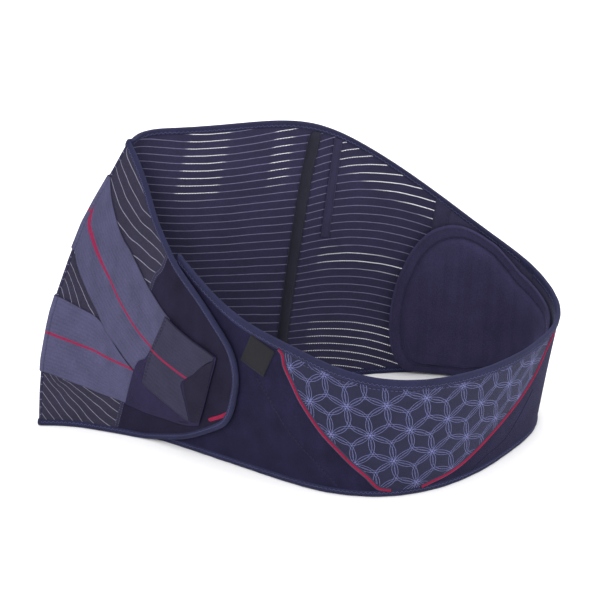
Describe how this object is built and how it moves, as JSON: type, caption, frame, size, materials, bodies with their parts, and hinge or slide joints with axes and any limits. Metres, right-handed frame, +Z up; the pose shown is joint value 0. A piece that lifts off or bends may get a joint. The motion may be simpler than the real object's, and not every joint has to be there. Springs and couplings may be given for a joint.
{
  "type": "lumbar support belt",
  "caption": "Lumbar support belt with a tall stayed mesh back, low patterned front, lapped hook-and-loop flap, elastic tensor straps and a removable oval pad.",
  "frame": {"origin": "centre of the bounding box, on the plane that the belt's lower edge stands on", "axes": "+Z up, +X along the loop away from the slanted fold, -Y out of the patterned front panel"},
  "size_m": [0.401, 0.21, 0.2407],
  "materials": {
    "slit_mesh": "matte knit mesh with rows of short slits",
    "plain_lining": "matte brushed lining",
    "velour": "short loop pile",
    "pinstripe_mesh": "ribbed mesh",
    "pattern_cloth": "two-tone knitted lattice",
    "crimson_piping": "woven cord edge",
    "label_cloth": "woven, blank",
    "pad_knit": "brushed knit over foam",
    "foam": "open-cell foam",
    "tab_laminate": "ribbed laminate",
    "grip_patch": "matte printed grip",
    "edge_binding": "folded stretch tape",
    "hook_tape": "moulded hooks",
    "casing_tape": "woven tape",
    "stay_steel": "flat spring strip",
    "elastic_strap": "woven elastic"
  },
  "bodies": {
    "back": {"back_mesh_panel": "slit_mesh", "side_panel": "velour", "back_top_binding": "edge_binding", "back_bottom_binding": "edge_binding", "side_facing": "plain_lining", "inner_stay_casing": "casing_tape", "inner_stay": "stay_steel", "centre_stay_casing": "casing_tape", "centre_stay": "stay_steel", "spine_stay_casing": "casing_tape", "spine_stay": "stay_steel", "fold_stay_casing": "casing_tape", "fold_stay": "stay_steel", "upper_strap_back": "elastic_strap", "lower_strap_back": "elastic_strap"},
    "front": {"front_panel_left": "velour", "front_panel_right": "velour", "front_pattern_panel": "pattern_cloth", "piping_left": "crimson_piping", "piping_right": "crimson_piping", "front_top_binding": "edge_binding", "front_bottom_binding": "edge_binding", "blank_label": "label_cloth"},
    "flap": {"flap_mesh_panel": "pinstripe_mesh", "closure_tongue": "velour", "flap_top_binding": "edge_binding", "flap_bottom_binding": "edge_binding", "flap_tip_binding": "edge_binding", "flap_hook_patch": "hook_tape", "upper_strap_wrap": "elastic_strap", "lower_strap_wrap": "elastic_strap"},
    "tensor_left": {"upper_strap": "elastic_strap", "lower_strap": "elastic_strap", "tensor_tab": "tab_laminate", "tab_hook_patch": "hook_tape", "tab_grip_patches": "grip_patch", "tab_mark_bar": "crimson_piping"},
    "tensor_right": {"right_upper_strap": "elastic_strap", "right_lower_strap": "elastic_strap", "right_tensor_tab": "tab_laminate", "right_tab_hook_patch": "hook_tape"},
    "pad": {"pad_cover": "pad_knit", "pad_core": "foam", "pad_hook_patch": "hook_tape"}
  },
  "joints": [
    {"name": "flap_swing", "type": "hinge", "parent": "back", "child": "flap", "pos_m": [-0.19919, 0.09102, 0], "axis": [0.3415, -0.0092, 0.9398], "range_deg": [-100, 0]},
    {"name": "front_swing", "type": "hinge", "parent": "back", "child": "front", "pos_m": [0.19581, 0.04072, 0], "axis": [0, 0, 1], "range_deg": [0, 16]},
    {"name": "tensor_left_peel", "type": "hinge", "parent": "flap", "child": "tensor_left", "pos_m": [-0.19068, 0.08222, 0], "axis": [0.3136, -0.0125, 0.9495], "range_deg": [-70, 0]},
    {"name": "tensor_right_peel", "type": "hinge", "parent": "back", "child": "tensor_right", "pos_m": [0.06864, 0.09889, 0], "axis": [0.0777, -0.0677, 0.9947], "range_deg": [0, 70]},
    {"name": "pad_slide", "type": "slide", "parent": "back", "child": "pad", "axis": [-1, 0, 0], "range_m": [0, 0.06]}
  ],
  "couplings": [
    {"joint": "front_swing", "follows": "flap_swing", "ratio": -0.16}
  ]
}
